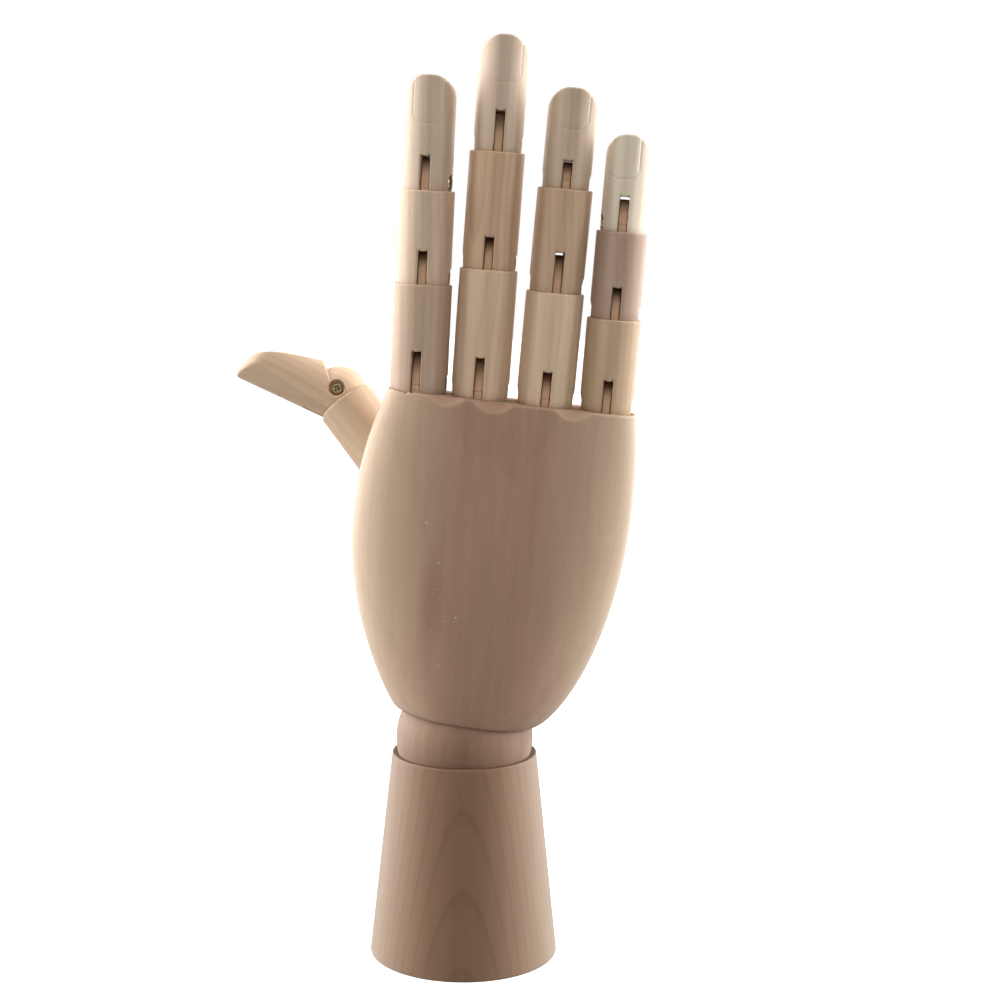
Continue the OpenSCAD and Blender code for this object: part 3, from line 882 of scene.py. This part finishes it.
def palm_skin(p):
    """Distance outside the rounded rectangle |x/hx|^e + |y/hy|^e = 1 at the point's own height,
    estimated as the value divided by the length of its slope across the section."""
    x, y, z = p.T
    t = np.clip((z - PALM_LO) / (PALM_HI - PALM_LO), 0, 1) ** 0.7
    left, right, back, front = (bezier(HALVES[k], t) for k in ("left", "right", "back", "front"))
    e = 2.05 + 1.05 * t**3
    hx, hy = (left + right) / 2, np.where(y < 0, back, front)
    u = np.maximum(np.abs(x - (right - left) / 2) / hx, 1e-6)
    v = np.maximum(np.abs(y) / hy, 1e-6)
    g = (u**e + v**e) ** (1 / e)
    slope = g ** (1 - e) * np.hypot(u ** (e - 1) / hx, v ** (e - 1) / hy)
    return (g - 1) / np.maximum(slope, 1e-4)


print("palm is", PALM_HI - PALM_LO, "mm high")

# %% [markdown]
# ## Carving the palm
#
# The carver's cuts follow in order: the mound for the thumb, the hollow beside it, the flat ends,
# three gouge cuts, the ball's seat, the spring's bore, the cross pin's hole and five sockets. Doing
# them on the field, and not on a finished mesh, keeps every edge between them soft.

# %% The carved palm
GOUGE_R, GOUGE_DEPTH, GOUGES = 12, 2.2, (-18.8, -3.2, 23)
PIN_Z, PIN_R, PIN_HOLE_R, PIN_HOLE_START, BORE_TOP = 38.0, 1.5, 1.55, -9.0, 42


def palm_field(p):
    """The outline joined to the mound, then cut by the larger of itself and each cut's inside."""
    x, y, z = p.T
    body = palm_skin(p)
    world_points = to_world(p, palm_at)
    q = to_local(world_points, root)
    mound_z = np.clip(q[:, 2], -RISE - 26, None)
    mound = np.sqrt(q[:, 0] ** 2 + q[:, 1] ** 2 + (q[:, 2] - mound_z) ** 2) - thumb_r - 1
    mound = np.maximum(mound, q[:, 2] + RISE)
    body = -ease(-body, -mound, 4.0)
    body = ease(body, np.minimum(thumb_r + 0.6 - q[:, 0], q[:, 2] + RISE), 0.8)
    body = ease(body, z - PALM_HI - 0.05 * wobble(x, 2.0, 0.8), 0.45)
    body = ease(body, PALM_LO + 0.8 - 0.036 * x - z, 1.6)
    shift = (GOUGE_R - GOUGE_DEPTH) / math.sqrt(2)
    for gap in GOUGES:
        d = np.stack([x - gap, y + 12 + shift, z - PALM_HI - shift])
        body = ease(body, GOUGE_R - np.hypot(d[0], (d[1] - d[2]) / math.sqrt(2)), 0.12)
    body = ease(body, seat_r - np.linalg.norm(p, axis=1), 0.3)
    across = np.hypot(x, y)
    body = np.maximum(body, np.minimum(bore_r - across, BORE_TOP - z))
    pin_hole = np.minimum(PIN_HOLE_R - np.hypot(x, z - PIN_Z), y - PIN_HOLE_START)
    body = np.maximum(body, pin_hole)
    for finger in FINGERS:
        q = to_local(world_points, places[finger + "_knuckle"])
        body = ease(body, -socket_field(q, RADII[finger][0]), 0.2)
    return ease(body, -socket_field(to_local(world_points, root), thumb_r), 0.3)


points, faces = net(palm_field, (-47, -25, PALM_LO), (47, 28, PALM_HI), 0.64)
# The palm's paler left and right sides are part sapwood, part painted side light
palm_wood = wood("Carved poplar, palm", "#b08b71", 2.2, (-6, -60), 3.0, 3.4, 0.1, 0.24,
                 swing=3.0, sanding=(6, 86), dust=(-9, 47), fuzz=0.6, band=0.45,
                 sapwood_and_side_light=("#d2b89b", 12, 45), stain=(-13, 46))
piece("palm_carved", points, faces, palm_at, "palm", ["palm"], palm_wood)

# %% [markdown]
# ## Springs, eye, disc and pin
#
# A spring in the wrist pulls the palm onto the ball and the ball onto the base. Its lower end hangs
# on an eye in a disc under the base, and its upper end on a pin across the palm. The wire follows
# one path: a coil, then an end loop.

# %% The spring and what holds it
steel = metal("Drawn spring steel", "#b8babc", "#6e6a64", 0.28)
COIL_R, PITCH, WIRE_R, EYE_R, EYE_WIRE_R = 3, 3.4, 0.5, 2.4, 0.6


def coil(z0, z1, loop_z, loop_r, turn):
    """Path of a spring: a helix of radius 3 from z0 to z1, a short run, and a round end loop."""
    turns = round(abs(z1 - z0) / PITCH)
    a = np.linspace(0, 2 * np.pi * turns, 28 * turns)
    rise = np.linspace(z0, z1, len(a))
    helix = np.stack([COIL_R * np.cos(a), COIL_R * np.sin(a), rise], 1)
    up = math.copysign(1, z1 - z0)
    b = np.linspace(-0.5 * np.pi, 1.45 * np.pi, 40)
    ring = np.stack([loop_r * np.cos(b) * math.cos(turn), loop_r * np.cos(b) * math.sin(turn),
                     loop_z + up * loop_r * np.sin(b)], 1)
    path = np.concatenate([helix, ring])
    for _ in range(6):
        path[1:-1] = (path[:-2] + 2 * path[1:-1] + path[2:]) / 4
    return path


points, faces = tube(coil(ball_centre[2] - 1.2, 18.4, 15.2, 2.2, math.pi / 2), WIRE_R)
piece("lower_spring_wire", points, faces, world, "spring_anchor", ["wrist_spring_lower"], steel)
points, faces = tube(coil(1.2, 34.2, 37.5, 2.6, 0.0), WIRE_R)
piece("upper_spring_wire", points, faces, palm_at, "palm", ["wrist_spring_upper"], steel)
b = np.linspace(-0.5 * np.pi, 1.42 * np.pi, 48)
stem = np.stack([0 * b[:12], 0 * b[:12], np.linspace(3.9, 10.4, 12)], 1)
eye = np.stack([EYE_R * np.cos(b), 0 * b, 13 + EYE_R * np.sin(b)], 1)
points, faces = tube(np.concatenate([stem, eye]), EYE_WIRE_R)
piece("anchor_eye_wire", points, faces, world, "spring_anchor", ["anchor_eye"], steel)
disc = refine(soften([(0.9, 3.8), (8.6, 3.8), (8.6, 6.8), (0.9, 6.8)], 0.3), 0.4)
points, faces = revolve(disc, 96)
piece("anchor_disc_turned", points, faces, world, "spring_anchor", ["anchor_disc"], tongue_wood)
pin_lo, pin_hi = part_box("palm_cross_pin")
pin_start, pin_end = pin_lo.y / MM + 0.02, pin_hi.y / MM - 0.02
pin_path = np.stack([np.zeros(40), np.linspace(pin_start + PIN_R, pin_end - PIN_R, 40),
                     np.full(40, PIN_Z)], 1)
points, faces = tube(pin_path, PIN_R, 24)
piece("cross_pin_dowel", points, faces, palm_at, "palm", ["palm_cross_pin"], tongue_wood)

# %% [markdown]
# ## Studio
#
# The hand stands in a round light tent. Two tall strips beside it and two weaker ones behind those
# light its edges, and grey cloth in front, behind and below keeps the middle of each piece darker.
# Lamps could do this, but strips give the long soft edge light that round wood shows. The cloth and
# the strips light the hand but stay out of the picture. The floor is a pale light table.

# %% The light tent
surround = bpy.data.worlds.new("White surround")
scene.world = surround
surround.use_nodes = True
background = surround.node_tree.nodes["Background"]
background.inputs["Color"].default_value = (1, 1, 1, 1)


def stage_piece(name, points, faces, shader, inputs, seen):
    """A sheet of the studio with one shader. seen is whether it is in the picture. What is in
    the picture lights nothing, and what lights the hand is out of the picture."""
    mesh = bpy.data.meshes.new(name)
    mesh.from_pydata(points, [], faces)
    material, tree = blank_material(name)
    node(tree, "OutputMaterial", {"Surface": node(tree, shader, inputs).outputs[0]})
    mesh.materials.append(material)
    thing = bpy.data.objects.new(name, mesh)
    scene.collection.objects.link(thing)
    thing.visible_camera = seen
    thing.visible_diffuse = thing.visible_glossy = not seen


def cloth(name, start, end, low, high, radius, glow):
    """Part of an upright cylinder between two bearings, in degrees from the front, that glows."""
    bearing = np.radians(np.linspace(start, end, 25))
    rows = [(radius * math.sin(b), -radius * math.cos(b), h) for h in (low, high) for b in bearing]
    quads = [(k, k + 1, k + 26, k + 25) for k in range(24)]
    stage_piece(name, rows, quads, "Emission", {"Strength": glow}, False)


def square(half, height):
    """The corners of a level square, half its side from the z axis."""
    return [(-half, -half, height), (half, -half, height), (half, half, height),
            (-half, half, height)]


stage_piece("Floor", square(3, 0), [(0, 1, 2, 3)], "BsdfPrincipled",
            {"Base Color": (0.85, 0.85, 0.85, 1), "Roughness": 0.9,
             "Emission Color": (1, 1, 1, 1), "Emission Strength": 0.65}, True)
stage_piece("Grey cloth below", square(1.6, -0.06), [(0, 1, 2, 3)], "Emission",
            {"Strength": 0.32}, False)
# Each row: from and to bearing in degrees, and glow
CLOTHS = {"Grey cloth in front": (-78, 82, 0.53), "Grey cloth behind": (150, 210, 0.55)}
STRIPS = {"Left strip": (-112, -78, 7.0), "Right strip": (81, 112, 7.2),
          "Left rim strip": (-148, -120, 4.8), "Right rim strip": (120, 148, 4.5)}
for name, (start, end, glow) in CLOTHS.items():
    cloth(name, start, end, -0.1, 2.4, 1.5, glow)
for name, (start, end, glow) in STRIPS.items():
    cloth(name, start, end, -0.05, 2.0, 1.3, glow)
print("light tent of", len(CLOTHS), "cloths and", len(STRIPS), "strips")

# %% [markdown]
# ## Camera
#
# The camera looks at the back of the hand from above the knuckles' height, tipped down a few
# degrees, with a longish lens so that the upright fingers stay nearly straight.

# %% Camera, sizes and the end
# TIP_ANGLE is measured from straight down, so 90 would be level
CAMERA_AT, LENS, TIP_ANGLE, ROLL = (0.0112348, -0.641379, 0.247145), 72.08, 81.5, 0.45
camera = bpy.data.objects.new("Camera", bpy.data.cameras.new("Camera"))
scene.collection.objects.link(camera)
camera.data.sensor_width = 36
camera.data.lens = LENS
camera.location = CAMERA_AT
camera.rotation_mode = "QUATERNION"
tip = Matrix.Rotation(math.radians(TIP_ANGLE), 4, "X")
roll = Matrix.Rotation(math.radians(ROLL), 4, "Z")
camera.rotation_quaternion = (tip @ roll).to_quaternion()
scene.camera = camera
scene.view_settings.view_transform = "Standard"
print("camera stands", round(-camera.location.y, 3), "m in front of the hand")
